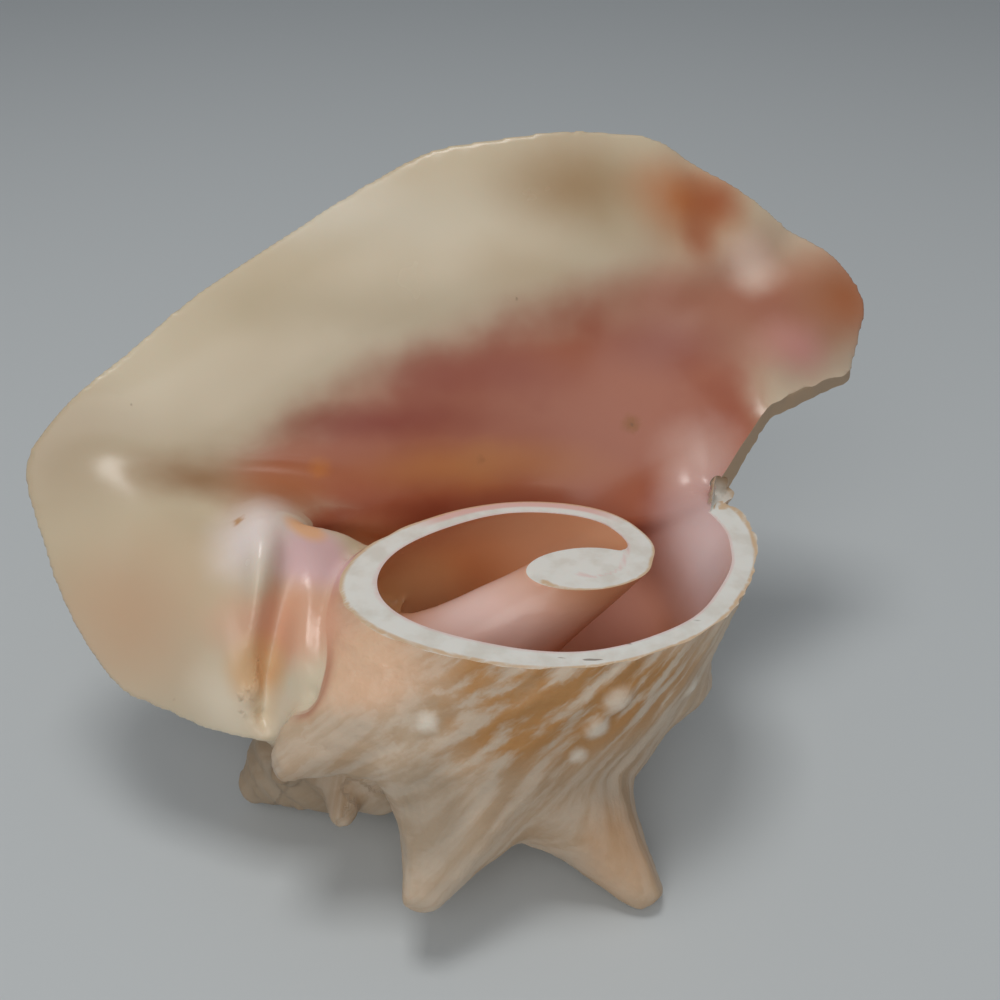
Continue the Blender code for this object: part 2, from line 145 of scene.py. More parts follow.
SECTION_STEPS = 230


def spline(stations, values, at, steady=False):
    """Smooth curve or surface through the values, with each slope taken from the neighbours.

    A steady one never swings past a value."""
    stations = np.asarray(stations, float)
    values = np.asarray(values, float)
    at = np.asarray(at, float)
    gaps = np.diff(stations)
    wide = gaps.reshape((-1,) + (1,) * (values.ndim - 1))
    steps = np.diff(values, axis=0) / wide
    slopes = np.empty_like(values)
    slopes[0] = steps[0]
    slopes[-1] = steps[-1]
    share = wide[:-1] / (wide[:-1] + wide[1:])
    slopes[1:-1] = steps[:-1] * (1 - share) + steps[1:] * share
    if steady:
        least = 3 * np.minimum(np.abs(steps[:-1]), np.abs(steps[1:]))
        slopes[1:-1] = np.clip(slopes[1:-1], -least, least)
    i = np.clip(np.searchsorted(stations, at, side="right") - 1, 0, len(stations) - 2)
    t = np.clip((at - stations[i]) / gaps[i], 0, 1)
    more = (...,) + (None,) * (values.ndim - 1)
    gap = gaps[i][more]
    t = t[more]
    return (
        (2 * t**3 - 3 * t**2 + 1) * values[i]
        + (t**3 - 2 * t**2 + t) * gap * slopes[i]
        + (3 * t**2 - 2 * t**3) * values[i + 1]
        + (t**3 - t**2) * gap * slopes[i + 1]
    )


def shell_frame():
    """Unit vectors along the axis, up to the left of it, and out to the front of it."""
    along = AXIS / np.linalg.norm(AXIS)
    front = np.array([0.0, -1.0, 0.0])
    front = front - front @ along * along
    front = front / np.linalg.norm(front)
    return along, np.cross(front, along), front


def place(radius, angle, height):
    """Points from radius, angle in degrees and height along the axis."""
    along, left, front = shell_frame()
    turn = np.radians(angle)
    radius, turn, height = np.broadcast_arrays(radius, turn, height)
    return (
        APEX
        + height[..., None] * along
        + (radius * np.cos(turn))[..., None] * left
        + (radius * np.sin(turn))[..., None] * front
    )


def body_section(angle, share):
    """Outer face of the body whorl at an angle and a share of the section."""
    row = spline(BODY[:, 0], BODY[:, 1:], angle)
    suture_s, suture_r, shoulder_s, shoulder_r, cut_s, cut_r, slope, middle = row
    heights = (
        cut_s + SPARE, cut_s, 0.5 * (cut_s + shoulder_s), shoulder_s + 2, shoulder_s - 4, suture_s,
    )
    radii = (
        cut_r + SPARE * slope, cut_r, cut_r + middle * (shoulder_r - cut_r), shoulder_r - 0.3,
        shoulder_r - 3.5, suture_r,
    )
    point = spline(BODY_SHARES, np.transpose([radii, heights]), share, steady=True)
    return place(point[..., 0], angle, point[..., 1])


def grid_normals(grid):
    """Unit normals of a grid of points, which point away from the hollow side."""
    along = np.gradient(grid, axis=0)
    across = np.gradient(grid, axis=1)
    normal = np.cross(across, along)
    return normal / np.maximum(np.linalg.norm(normal, axis=2, keepdims=True), 1e-9)


def inner_stations(shares):
    """Inner face of the sheet at each growth station, from the columella to the rim of the lip."""
    angles = list(np.arange(-324, 200, 12.0))
    lines = [(a, a) for a in angles] + list(LEANING)
    outer = []
    for first, last in lines:
        line = []
        for share in shares:
            angle = first + (last - first) * share
            line.append(body_section(angle, share))
        outer.append(line)
    outer = np.array(outer)
    body = outer - WALL * grid_normals(outer)
    # Share 0 of a lip line lies past the saw cut, where the cutter trims it.
    lip = []
    for line in LIP:
        line = np.array(line, float)
        reach = line[0, 1:] + PAST_CUT
        knots = np.concatenate([[0.0], line[:, 0]])
        points = np.vstack([reach, line[:, 1:]])
        lip.append(spline(knots, points, shares))
    return np.concatenate([body, np.array(lip)])


def thinned(out, shares):
    """Share of the wall's thickness left: it thins where the lip rolls into the groove."""
    first, last = ROLL_SHARES
    rolled = np.clip((shares - first) / (last - first), 0, 1) * np.clip(out / ROLL_GROWTH, 0, 1)
    return 1 - ROLL_LOSS * rolled


def quads(rows, columns, first, turned_over):
    """Faces of a grid of points whose numbers start at first."""
    corner = first + np.arange(rows - 1)[:, None] * columns + np.arange(columns - 1)
    made = np.stack([corner, corner + columns, corner + columns + 1, corner + 1], axis=-1)
    made = made.reshape(-1, 4)
    return made[:, ::-1] if turned_over else made


def closed_sheet(inner, outer):
    """One closed mesh from an inner and an outer grid of the same size."""
    rows, columns = inner.shape[:2]
    count = rows * columns
    points = np.concatenate([inner.reshape(-1, 3), outer.reshape(-1, 3)])
    number = np.arange(count).reshape(rows, columns)
    edge = np.concatenate([number[:, 0], number[-1, 1:], number[-2::-1, -1], number[0, -2:0:-1]])
    after = np.roll(edge, -1)
    band = np.stack([edge, edge + count, after + count, after], axis=-1)
    faces = np.concatenate([quads(rows, columns, 0, False), quads(rows, columns, count, True), band])
    return points, faces.tolist()


# The knobs and spines. The mantle folds outwards at the shoulder of each turn and leaves a hollow
# horn there, so a spine is the wall itself drawn out, blunt at its end.
# Spines of the body whorl: angle and height of the foot, half-widths of the foot round and along the
# axis, then angle, height and radius of the tip.
BODY_SPINES = (
    (56, 49, 16, 12, 57, 34, 41.5),
    (111, 58, 18, 15, 109, 42.5, 57),
    (143, 76, 20, 17, 146, 79.5, 77.8),
    (214, 80, 22, 18, 220, 84, 80.7),
    (170, 112, 16, 13, 170, 116, 47.5),
)
# Share of a foot's width that its tip keeps, and how hollow the flanks are.
BLUNT = 0.22
SWEEP = 1.6


def spine_lift(grid, spined):
    """How far the spines draw each point of the outer face out of the wall."""
    along, left, front = shell_frame()
    height = (grid - APEX) @ along
    radial = grid - APEX - height[..., None] * along
    radius = np.linalg.norm(radial, axis=2)
    angle = np.degrees(np.arctan2(radial @ front, radial @ left)) % 360
    lift = np.zeros_like(grid)
    for foot_angle, foot_height, wide, deep, tip_angle, tip_height, tip_radius in BODY_SPINES:
        around = np.radians(angle - foot_angle) * radius
        far = np.hypot(around / wide, (height - foot_height) / deep)
        far = np.where(spined[:, None], far, 9.0)
        foot = grid.reshape(-1, 3)[np.argmin(far)]
        tip = place(np.array(tip_radius), np.array(tip_angle), np.array(tip_height))
        share = np.clip((1 - far) / (1 - BLUNT), 0, 1) ** SWEEP
        lift += share[..., None] * (tip - foot)
    return lift


shares = np.linspace(0, 1, SECTION_STEPS)
stations = inner_stations(shares)
gaps = np.linalg.norm(np.diff(stations[:, len(shares) // 2], axis=0), axis=1)
growth_at_station = np.concatenate([[0.0], np.cumsum(gaps)])
growth = np.linspace(0, growth_at_station[-1], GROWTH_STEPS)
lip_start = growth_at_station[-len(LIP)]
lip_width = growth_at_station[-1] - lip_start
out_share = (growth - lip_start) / lip_width
wall_inner = spline(growth_at_station, stations, growth)
out_share = np.clip(out_share, 0, 1)
# The rim waves at its front end.
RIM_FOLDS = (0.17, 0.42)
FOLD_COUNT = 3.2
FOLD_HEIGHT = 1.7
fold_place = np.clip((shares - RIM_FOLDS[0]) / (RIM_FOLDS[1] - RIM_FOLDS[0]), 0, 1)
fold_wave = np.sin(fold_place * FOLD_COUNT * 2 * np.pi) * np.sin(fold_place * np.pi)
folds = FOLD_HEIGHT * fold_wave * np.clip((out_share[:, None] - 0.45) / 0.55, 0, 1) ** 1.5
wall_inner = wall_inner + folds[..., None] * grid_normals(wall_inner)
thickness = (WALL + (RIM_WALL - WALL) * out_share**2)[:, None] * thinned(out_share[:, None], shares)
wall_outer = wall_inner + thickness[..., None] * grid_normals(wall_inner)
spined = (growth > growth_at_station[LAST_TURN]) & (growth < lip_start)
wall_outer = wall_outer + spine_lift(wall_outer, spined)
wall_solid = closed_sheet(wall_inner, wall_outer)


# The callus. Smooth glaze that the animal spread over the wall beside the opening, with the groove
# through which the opening drained at the spire end of the lip.
# Glaze laid over the wall between the lip and the body whorl, with the groove that drains it: rows
# of its face from the back edge to the end of the groove, lip side first.
CALLUS = (
    # back edge
    ((-42.5, -10, 78), (-35.5, -6, 74), (-29, -4.5, 70.5), (-23.5, -2, 64.5)),
    # crest
    ((-43.5, -18.5, 77.5), (-38, -18.5, 74.5), (-33, -18.5, 70.5), (-29, -19, 65)),
    # upper groove
    ((-48, -28, 67.5), (-42.5, -28, 66.5), (-36, -33, 68), (-32, -34, 64.5)),
    # groove
    ((-51, -35, 56.5), (-45.5, -34.5, 56.5), (-38, -44, 62), (-33, -46.5, 61)),
    # groove end
    ((-52.5, -41, 47.5), (-48, -40.5, 46.5), (-41, -47, 53), (-35, -51.5, 54)),
    # outlet
    ((-49.5, -47, 41), (-46.5, -49, 40), (-43, -49.5, 42.5), (-37.5, -49.5, 49)),
)
CALLUS_DEPTH = 13.0
# Way from its back to its face.
CALLUS_WAY = np.array([-0.25, -0.45, 0.86])

callus_rows = np.array([spline(np.linspace(0, 1, 4), row, np.linspace(0, 1, 40)) for row in CALLUS])
callus_face = spline(np.linspace(0, 1, len(CALLUS)), callus_rows, np.linspace(0, 1, 50))
callus_back = callus_face - CALLUS_DEPTH * CALLUS_WAY
callus_solid = closed_sheet(callus_back, callus_face)


# The columella and the spire. The pillar that all turns share runs up the middle, and the old turns
# of the young shell show as shallow steps outside, with small spines of their own.
# Columella and spire: height along the axis, radius.
CORE = (
    (-1.5, 0), (-0.5, 2.6), (3, 5.2), (8, 9), (16, 14), (26, 20), (34, 24), (42, 26.5), (50, 26),
    (57, 21.5), (66, 15), (75, 12.5), (85, 11), (100, 8.8), (112, 9.0), (125, 8.6), (140, 8),
)
WHORL_FACTOR = 1.7
# Spines of the spire: angle, height and radius of the root, half-widths there, then angle, height
# and radius of the tip and the half-width there.
SPIRE_SPINES = (
    (95, 33, 14, 10, 8, 97, 31, 31, 2.0),
    (62, 24, 12, 8, 7, 62, 21, 22, 1.8),
    (150, 38, 17, 9, 7, 152, 37, 32, 2.2),
    (205, 36, 16, 9, 7, 207, 35, 31, 2.2),
    (262, 32, 14, 8, 7, 264, 31, 28, 1.9),
    (318, 28, 12, 7, 6, 320, 27, 25, 1.7),
    (10, 25, 10, 6, 5, 12, 23, 21, 1.5),
    (110, 17, 7, 5, 4, 110, 15, 15, 1.3),
    (180, 16, 7, 5, 4, 182, 14, 14.5, 1.3),
    (250, 14, 6, 4, 4, 250, 12, 12.5, 1.2),
    (40, 14, 6, 4, 4, 40, 12, 12, 1.2),
    # Root of the body spine beside the groove.
    (58, 55, 31, 9, 9, 53, 36, 39, 4.5),
)


def turned(rings):
    """A closed mesh from rings of equal count, with a point or a flat fan at each end."""
    rings = np.asarray(rings)
    count = rings.shape[1]
    points = list(rings.reshape(-1, 3))
    faces = []
    for i in range(len(rings) - 1):
        for j in range(count):
            k = (j + 1) % count
            faces.append((i * count + j, i * count + k, (i + 1) * count + k, (i + 1) * count + j))
    points.append(rings[0].mean(axis=0))
    points.append(rings[-1].mean(axis=0))
    start, end = len(points) - 2, len(points) - 1
    last = (len(rings) - 1) * count
    for j in range(count):
        k = (j + 1) % count
        faces.append((start, k, j))
        faces.append((end, last + j, last + k))
    return np.array(points), faces


def core(around=28, steps=26):
    """Columella and spire, with the whorls of the spire as shallow steps."""
    table = np.array(CORE, float)
    heights = np.concatenate([np.linspace(-1.2, 60, steps), np.linspace(66, 140, 12)])
    angles = np.linspace(0, 360, around, endpoint=False)
    rings = []
    for height in heights:
        radius = spline(table[:, 0], table[:, 1], height)
        rate = np.log(WHORL_FACTOR) / 360
        winding = np.log(max(height, 0.5) / 46.0) / rate - angles
        step = np.cos(np.radians(winding))
        depth = 0.07 * radius * np.clip((58 - height) / 12, 0, 1)
        rings.append(place(radius + depth * step, angles, height))
    return turned(rings)


def spine(root_angle, root_height, root_radius, wide, deep, angle, height, radius, tip, around=12):
    """A tapering spine with a flared root and a rounded tip."""
    start = place(np.array(root_radius), np.array(root_angle), np.array(root_height))
    end = place(np.array(radius), np.array(angle), np.array(height))
    along = shell_frame()[0]
    way = (end - start) / np.linalg.norm(end - start)
    side = np.cross(along, way)
    side = side / np.linalg.norm(side)
    other = np.cross(way, side)
    turn = np.radians(np.linspace(0, 360, around, endpoint=False))
    rings = []
    for share in (0.0, 0.2, 0.4, 0.6, 0.8, 0.93, 1.0):
        ease = (1 - share) ** 1.1
        half_wide = tip + (wide - tip) * ease
        half_deep = tip + (deep - tip) * ease
        if share == 1.0:
            half_wide = half_wide * 0.5
            half_deep = half_deep * 0.5
        centre = start + share * (end - start)
        rings.append(
            centre
            + half_wide * np.cos(turn)[:, None] * side
            + half_deep * np.sin(turn)[:, None] * other
        )
    return turned(rings)


core_solid = core(60, 60)
spire_solids = [spine(*row, around=20) for row in SPIRE_SPINES]

# A bead of glaze fills the corner where the ridge of the lip overhangs the groove.
BEAD_LINE = ((-49.6, -38.8, 60), (-49.9, -41.0, 54.5), (-50.1, -43.0, 49.5), (-50.2, -45.4, 43.5))
BEAD_WIDTH = (0.8, 2.1, 2.3, 1.0)
bead_turn = np.radians(np.linspace(0, 360, 16, endpoint=False))[:, None]
bead_ring = np.cos(bead_turn) * (1, 0, 0) + np.sin(bead_turn) * (0, 0.94, -0.33)
bead_shares = np.linspace(0, 1, 14)
bead_centres = spline(np.linspace(0, 1, 4), np.array(BEAD_LINE), bead_shares)
bead_widths = np.interp(bead_shares, np.linspace(0, 1, 4), BEAD_WIDTH)
bead_solid = turned([centre + width * bead_ring for centre, width in zip(bead_centres, bead_widths)])


# The grown shell. All of it is one piece of lime, so the pieces above are grown together into one
# skin, and the outside gets its growth lines, low cords and dents.
CELL = 0.95
TRIANGLES = 184000


def mesh_object(name, solids):
    """A new object from one or more closed meshes, in metres."""
    points = []
    faces = []
    start = 0
    for solid_points, solid_faces in solids:
        points.append(solid_points)
        faces.extend([tuple(start + index for index in face) for face in solid_faces])
        start += len(solid_points)
    mesh = bpy.data.meshes.new(name)
    mesh.from_pydata(((np.concatenate(points) + STAND) * MM).tolist(), [], faces)
    made = bpy.data.objects.new(name, mesh)
    bpy.context.scene.collection.objects.link(made)
    return made


def set_modifiers(thing):
    """Puts the modified mesh in place of the object's own."""
    graph = bpy.context.evaluated_depsgraph_get()
    mesh = bpy.data.meshes.new_from_object(thing.evaluated_get(graph))
    old = thing.data
    thing.modifiers.clear()
    thing.data = mesh
    bpy.data.meshes.remove(old)


def read_points(mesh):
    flat = np.empty(len(mesh.vertices) * 3, np.float32)
    mesh.vertices.foreach_get("co", flat)
    return flat.reshape(-1, 3).astype(float) / MM - STAND


shell = mesh_object("shell", [wall_solid, callus_solid, core_solid, bead_solid] + spire_solids)
grown = shell.modifiers.new("grown_together", "REMESH")
grown.mode = "VOXEL"
grown.voxel_size = CELL * MM
softened = shell.modifiers.new("softened", "SMOOTH")
softened.factor = 0.5
softened.iterations = 6
set_modifiers(shell)

GRID_COUNT = GROWTH_STEPS * SECTION_STEPS
nearest = KDTree(2 * GRID_COUNT)
for index, point in enumerate(wall_solid[0]):
    nearest.insert(point, index)
nearest.balance()
callus_near = KDTree(callus_face.size // 3)
for index, point in enumerate(callus_face.reshape(-1, 3)):
    callus_near.insert(point, index)
callus_near.balance()
growth_step = np.gradient(np.stack([wall_inner, wall_outer]), axis=1)
across_step = np.gradient(np.stack([wall_inner, wall_outer]), axis=2)


def along_wall(points):
    """For each point, the side of the wall it lies on, how far the shell had grown there and its
    place across the section, and how far away the wall is."""
    found = [nearest.find(point) for point in points]
    index = np.array([hit[1] for hit in found])
    near = np.array([hit[2] for hit in found])
    side = index // GRID_COUNT
    row, column = np.divmod(index % GRID_COUNT, SECTION_STEPS)
    offset = points - wall_solid[0][index]
    ahead = growth_step[side, row, column]
    aside = across_step[side, row, column]
    row_share = (offset * ahead).sum(1) / np.maximum((ahead**2).sum(1), 1e-6)
    column_share = (offset * aside).sum(1) / np.maximum((aside**2).sum(1), 1e-6)
    grown_to = (row + np.clip(row_share, -1, 1)) * growth[1]
    across = (column + np.clip(column_share, -1, 1)) / (SECTION_STEPS - 1)
    return side, grown_to, across, near


def lumps(points, size, seed):
    """Soft noise of the size given, from -1 to 1."""
    shift = Vector((seed * 17.3, seed * 5.1, seed * 9.7))
    return np.array([noise.noise(Vector(point) / size + shift) for point in points])


def height_on_axis(points):
    return (points - APEX) @ shell_frame()[0]


def near_callus(points, reach):
    """1 on the callus, falling to 0 at the reach given."""
    far = np.array([callus_near.find(point)[2] for point in points])
    return np.clip(1.3 - far / reach, 0, 1)


def how_glazed(points, side, grown_to, near):
    """1 where the wall is glazed, 0 where it is chalky outside, and between them at their edge."""
    height = height_on_axis(points)
    edge = np.clip((grown_to - (lip_start + lip_width - 2.5)) / 2.0, 0, 1)
    last = np.clip((growth_at_station[LAST_TURN] - grown_to) / 6, 0, 1)
    inside_old_turn = last * np.clip((height - 46) / 6, 0, 1)
    outside = np.maximum(edge, inside_old_turn)
    glazed = np.where(side == 0, 1.0, outside)
    glazed = np.where((near > 2.6) & (height < 52), 0.0, glazed)
    glazed = np.where((near > 2.6) & (height >= 52), 1.0, glazed)
    return np.maximum(glazed, near_callus(points, 4.5))


CORD_HEIGHT = 0.16
CORD_COUNT = 34
# Low knobs on the body whorl: centre, width and height.
KNOBS = (
    ((35, -55, 61), 5.0, 1.3),
    ((31, -58, 54), 4.6, 1.1),
    ((27, -60, 47), 3.6, 0.6),
    ((56, -40, 50), 4.5, 1.0),
    ((-8, -60, 58), 3.6, 0.6),
)

# Where the lip leaves the body whorl its edge is rounded, as the callus is.
NOTCH = (69, 21, 72)
NOTCH_REACH = 9.0
MELTING_REACH = 9.0
MELTING_STEPS = 24

points = read_points(shell.data)
by_notch = np.clip(1.6 - np.linalg.norm(points + STAND - NOTCH, axis=1) / NOTCH_REACH, 0, 1)
melted = np.maximum(near_callus(points, MELTING_REACH), by_notch)
group = shell.vertex_groups.new(name="melted")
for index in np.flatnonzero(melted > 0.02):
    group.add([int(index)], float(melted[index]), "REPLACE")
flowed = shell.modifiers.new("glaze_flowed", "SMOOTH")
flowed.factor = 0.5
flowed.iterations = MELTING_STEPS
flowed.vertex_group = "melted"
set_modifiers(shell)

points = read_points(shell.data)
side, grown_to, across, near = along_wall(points)
glazed = how_glazed(points, side, grown_to, near)
flat_growth = np.stack([grown_to, across * 20, np.zeros(len(points))], axis=1)
lines = (
    0.95 * (0.5 - np.abs(lumps(flat_growth * (1, 0.7, 1), 7.0, 1)))
    + 0.45 * lumps(flat_growth * (1, 0.6, 1), 3.4, 2)
)
cords = CORD_HEIGHT * np.cos(across * 2 * math.pi * CORD_COUNT) * (0.5 + 0.5 * lumps(points, 22, 3))
dents = 0.5 * lumps(points, 16, 4) + 0.25 * lumps(points, 7, 5)
knobs = np.zeros(len(points))
for centre, size, height in KNOBS:
    far = np.linalg.norm(points + STAND - centre, axis=1) / size
    knobs += height * np.clip(1 - far**2, 0, 1) ** 1.5
outside = (lines + cords + dents + knobs) * (1 - glazed) ** 2
inside = 0.28 * lumps(points, 24, 6) * glazed
normals = np.empty(len(points) * 3, np.float32)
shell.data.vertices.foreach_get("normal", normals)
moved = points + (outside + inside)[:, None] * normals.reshape(-1, 3)
# The relief stops at the floor.
moved[:, 2] = np.maximum(moved[:, 2], -STAND[2])
shell.data.vertices.foreach_set("co", ((moved + STAND) * MM).ravel().astype(np.float32))
shell.data.update()
coarse = shell.modifiers.new("coarse", "DECIMATE")
coarse.ratio = min(1.0, TRIANGLES / (2 * len(shell.data.polygons)))
set_modifiers(shell)


# The saw cuts. One pass took the front of the body whorl off level, through the pillar, and a second
# went up through the front end of the lip, where the outer layers chipped.
# The level saw cut.
CUT_HEIGHT = 70.0
# Plan of what the saw took away above that level: the last corners follow the second cut, which
# runs up through the front end of the lip.
SAWN_PLAN = (
    (68.6, 14.6), (66, 6), (56, 3), (44, 7), (24, 15), (2, 14), (-16, 9), (-24.5, -1), (-29.5, -14),
    (-31.5, -30), (-31, -60), (0, -90), (90, -90), (175, 20), (175, 104.6),
)
SAW_TOP = 170.0
SAW_END = 125
SAW_STEP = 1.3
# Rows of faces across the saw block and up it.
SAW_ROWS = (90, 66)
CHIP = 1.2
CHIP_GRAIN = 5.0
CHIPPED_FROM = (80, 82)
# The corner between the two cuts broke away.
CHIP_PLACE = (68.4, 17.6, 72.3)
CHIP_REACH = 2.9


def saw_block():
    """The space that the saw took, with fine faces so that the cut shows its layers."""
    plan = np.array(SAWN_PLAN, float)
    leftmost = int(np.argmin(plan[:, 0]))
    back = np.vstack([plan[leftmost::-1], plan[-1]])
    front = plan[leftmost:-1] + np.array([0, -0.5])
    x = np.unique(np.concatenate([np.arange(plan[leftmost, 0], SAW_END, SAW_STEP), back[:-1, 0]]))
    y_back = np.interp(x, back[:, 0], back[:, 1])
    y_front = np.interp(x, front[:, 0], front[:, 1])
    across_count, up_count = SAW_ROWS
    spread = np.linspace(0, 1, across_count)
    y = y_front[:, None] + (y_back - y_front)[:, None] * spread
    z = CUT_HEIGHT + (SAW_TOP - CUT_HEIGHT) * np.linspace(0, 1, up_count)

    def level(height):
        return np.stack([np.broadcast_to(x[:, None], y.shape), y, np.full(y.shape, height)], axis=-1)

    bottom, lid = level(CUT_HEIGHT), level(SAW_TOP)
    ring_xy = np.concatenate([bottom[:, 0], bottom[-1, 1:], bottom[-2::-1, -1], bottom[0, -2:0:-1]])
    count = len(x) * across_count
    number = np.arange(count).reshape(len(x), across_count)
    edge = np.concatenate([number[:, 0], number[-1, 1:], number[-2::-1, -1], number[0, -2:0:-1]])
    made = [bottom.reshape(-1, 3)]
    for height in z[1:-1]:
        layer = ring_xy.copy()
        layer[:, 2] = height
        chipped = (layer[:, 0] > CHIPPED_FROM[0]) & (height > CHIPPED_FROM[1])
        shake = np.array([noise.noise(Vector(point) / CHIP_GRAIN) for point in layer])
        layer[chipped, 1] += CHIP * shake[chipped]
        made.append(layer)
    made.append(lid.reshape(-1, 3))
    first_of = [None] + [count + i * len(edge) for i in range(len(z) - 2)]
    last = count + (len(z) - 2) * len(edge)
    rings = [edge] + [first + np.arange(len(edge)) for first in first_of[1:]] + [last + edge]
    faces = [quads(len(x), across_count, 0, True), quads(len(x), across_count, last, False)]
    for low, high in zip(rings[:-1], rings[1:]):
        faces.append(np.stack([low, np.roll(low, -1), np.roll(high, -1), high], axis=-1))
    return np.concatenate(made), np.concatenate(faces).tolist()


# The finish. The glaze inside is smooth and glossy, cream at the rim and rose and orange in the
# depth, the outside is chalky with ochre streaks, and the sawn faces are white, matt and layered.
def srgb(red, green, blue):
    """A colour as a paint program gives it, as the light that it throws back."""
    return tuple(((c / 255 + 0.055) / 1.055) ** 2.4 for c in (red, green, blue)) + (1.0,)


def soft_patch_group():
    """A blurred, uneven patch round a place on the shell."""
    group = bpy.data.node_groups.new("soft patch", "ShaderNodeTree")
    for name, kind in (
        ("Centre", "NodeSocketVector"), ("Reach", "NodeSocketVector"), ("Warp", "NodeSocketFloat"),
        ("Edge", "NodeSocketFloat"), ("Grain", "NodeSocketFloat"),
    ):
        group.interface.new_socket(name, in_out="INPUT", socket_type=kind)
    group.interface.new_socket("Mask", in_out="OUTPUT", socket_type="NodeSocketFloat")
    nodes, links = group.nodes, group.links
    given = nodes.new("NodeGroupInput")
    result = nodes.new("NodeGroupOutput")
    place_on = nodes.new("ShaderNodeTexCoord")
    cloud = nodes.new("ShaderNodeTexNoise")
    cloud.inputs["Detail"].default_value = 3
    links.new(place_on.outputs["Object"], cloud.inputs["Vector"])
    links.new(given.outputs["Grain"], cloud.inputs["Scale"])
    centred = nodes.new("ShaderNodeVectorMath")
    centred.operation = "SUBTRACT"
    links.new(cloud.outputs["Color"], centred.inputs[0])
    centred.inputs[1].default_value = (0.5, 0.5, 0.5)
    shifted = nodes.new("ShaderNodeVectorMath")
    shifted.operation = "SCALE"
    links.new(centred.outputs[0], shifted.inputs[0])
    links.new(given.outputs["Warp"], shifted.inputs["Scale"])
    away = nodes.new("ShaderNodeVectorMath")
    away.operation = "SUBTRACT"
    links.new(place_on.outputs["Object"], away.inputs[0])
    links.new(given.outputs["Centre"], away.inputs[1])
    joined = nodes.new("ShaderNodeVectorMath")
    joined.operation = "ADD"
    links.new(away.outputs[0], joined.inputs[0])
    links.new(shifted.outputs[0], joined.inputs[1])
    scaled = nodes.new("ShaderNodeVectorMath")
    scaled.operation = "DIVIDE"
    links.new(joined.outputs[0], scaled.inputs[0])
    links.new(given.outputs["Reach"], scaled.inputs[1])
    length = nodes.new("ShaderNodeVectorMath")
    length.operation = "LENGTH"
    links.new(scaled.outputs[0], length.inputs[0])
    fade = nodes.new("ShaderNodeMapRange")
    fade.interpolation_type = "SMOOTHSTEP"
    links.new(length.outputs["Value"], fade.inputs["Value"])
    links.new(given.outputs["Edge"], fade.inputs["From Min"])
    fade.inputs["From Max"].default_value = 1.0
    fade.inputs["To Min"].default_value = 1.0
    fade.inputs["To Max"].default_value = 0.0
    links.new(fade.outputs["Result"], result.inputs["Mask"])
    return group


soft_patch = soft_patch_group()


class Finish:
    """A material in the making, with the few node recipes that the shell's finishes share."""

    def __init__(self, name):
        self.material = bpy.data.materials.new(name)
        self.material.use_nodes = True
        self.nodes = self.material.node_tree.nodes
        self.links = self.material.node_tree.links
        self.surface = self.nodes["Principled BSDF"]
        self.place = self.nodes.new("ShaderNodeTexCoord").outputs["Object"]

    def mark(self, name):
        """A value written on the mesh."""
        node = self.nodes.new("ShaderNodeAttribute")
        node.attribute_name = name
        return node.outputs["Fac"]

    def maths(self, operation, first, second=0.0, third=None):
        node = self.nodes.new("ShaderNodeMath")
        node.operation = operation
        for socket, value in zip(node.inputs, (first, second, third)):
            if hasattr(value, "node"):
                self.links.new(value, socket)
            elif value is not None:
                socket.default_value = value
        return node.outputs[0]

    def ramp(self, value, low, high, start=0.0, end=1.0):
        node = self.nodes.new("ShaderNodeMapRange")
        node.interpolation_type = "SMOOTHSTEP"
        self.links.new(value, node.inputs["Value"])
        for name, number in zip(("From Min", "From Max", "To Min", "To Max"), (low, high, start, end)):
            node.inputs[name].default_value = number
        return node.outputs["Result"]

    def cloud(self, scale, detail=3.0, vector=None):
        node = self.nodes.new("ShaderNodeTexNoise")
        node.inputs["Scale"].default_value = scale
        node.inputs["Detail"].default_value = detail
        self.links.new(self.place if vector is None else vector, node.inputs["Vector"])
        return node.outputs["Fac"]

    def patch(self, centre, reach, warp=6.0, edge=0.0, grain=60.0):
        node = self.nodes.new("ShaderNodeGroup")
        node.node_tree = soft_patch
        node.inputs["Centre"].default_value = [c * MM for c in centre]
        node.inputs["Reach"].default_value = [r * MM for r in reach]
        node.inputs["Warp"].default_value = warp * MM
        node.inputs["Edge"].default_value = edge
        node.inputs["Grain"].default_value = grain
        return node.outputs["Mask"]

    def blend(self, mask, under, over):
        """The colour over laid on the colour under where the mask is 1."""
        node = self.nodes.new("ShaderNodeMix")
        node.data_type = "RGBA"
        for name, value in (("Factor", mask), ("A", under), ("B", over)):
            socket = next(s for s in node.inputs if s.name == name and s.type != "VECTOR" and (
                s.type == ("VALUE" if name == "Factor" else "RGBA")))
            if hasattr(value, "node"):
                self.links.new(value, socket)
            else:
                socket.default_value = value
        return next(s for s in node.outputs if s.type == "RGBA")


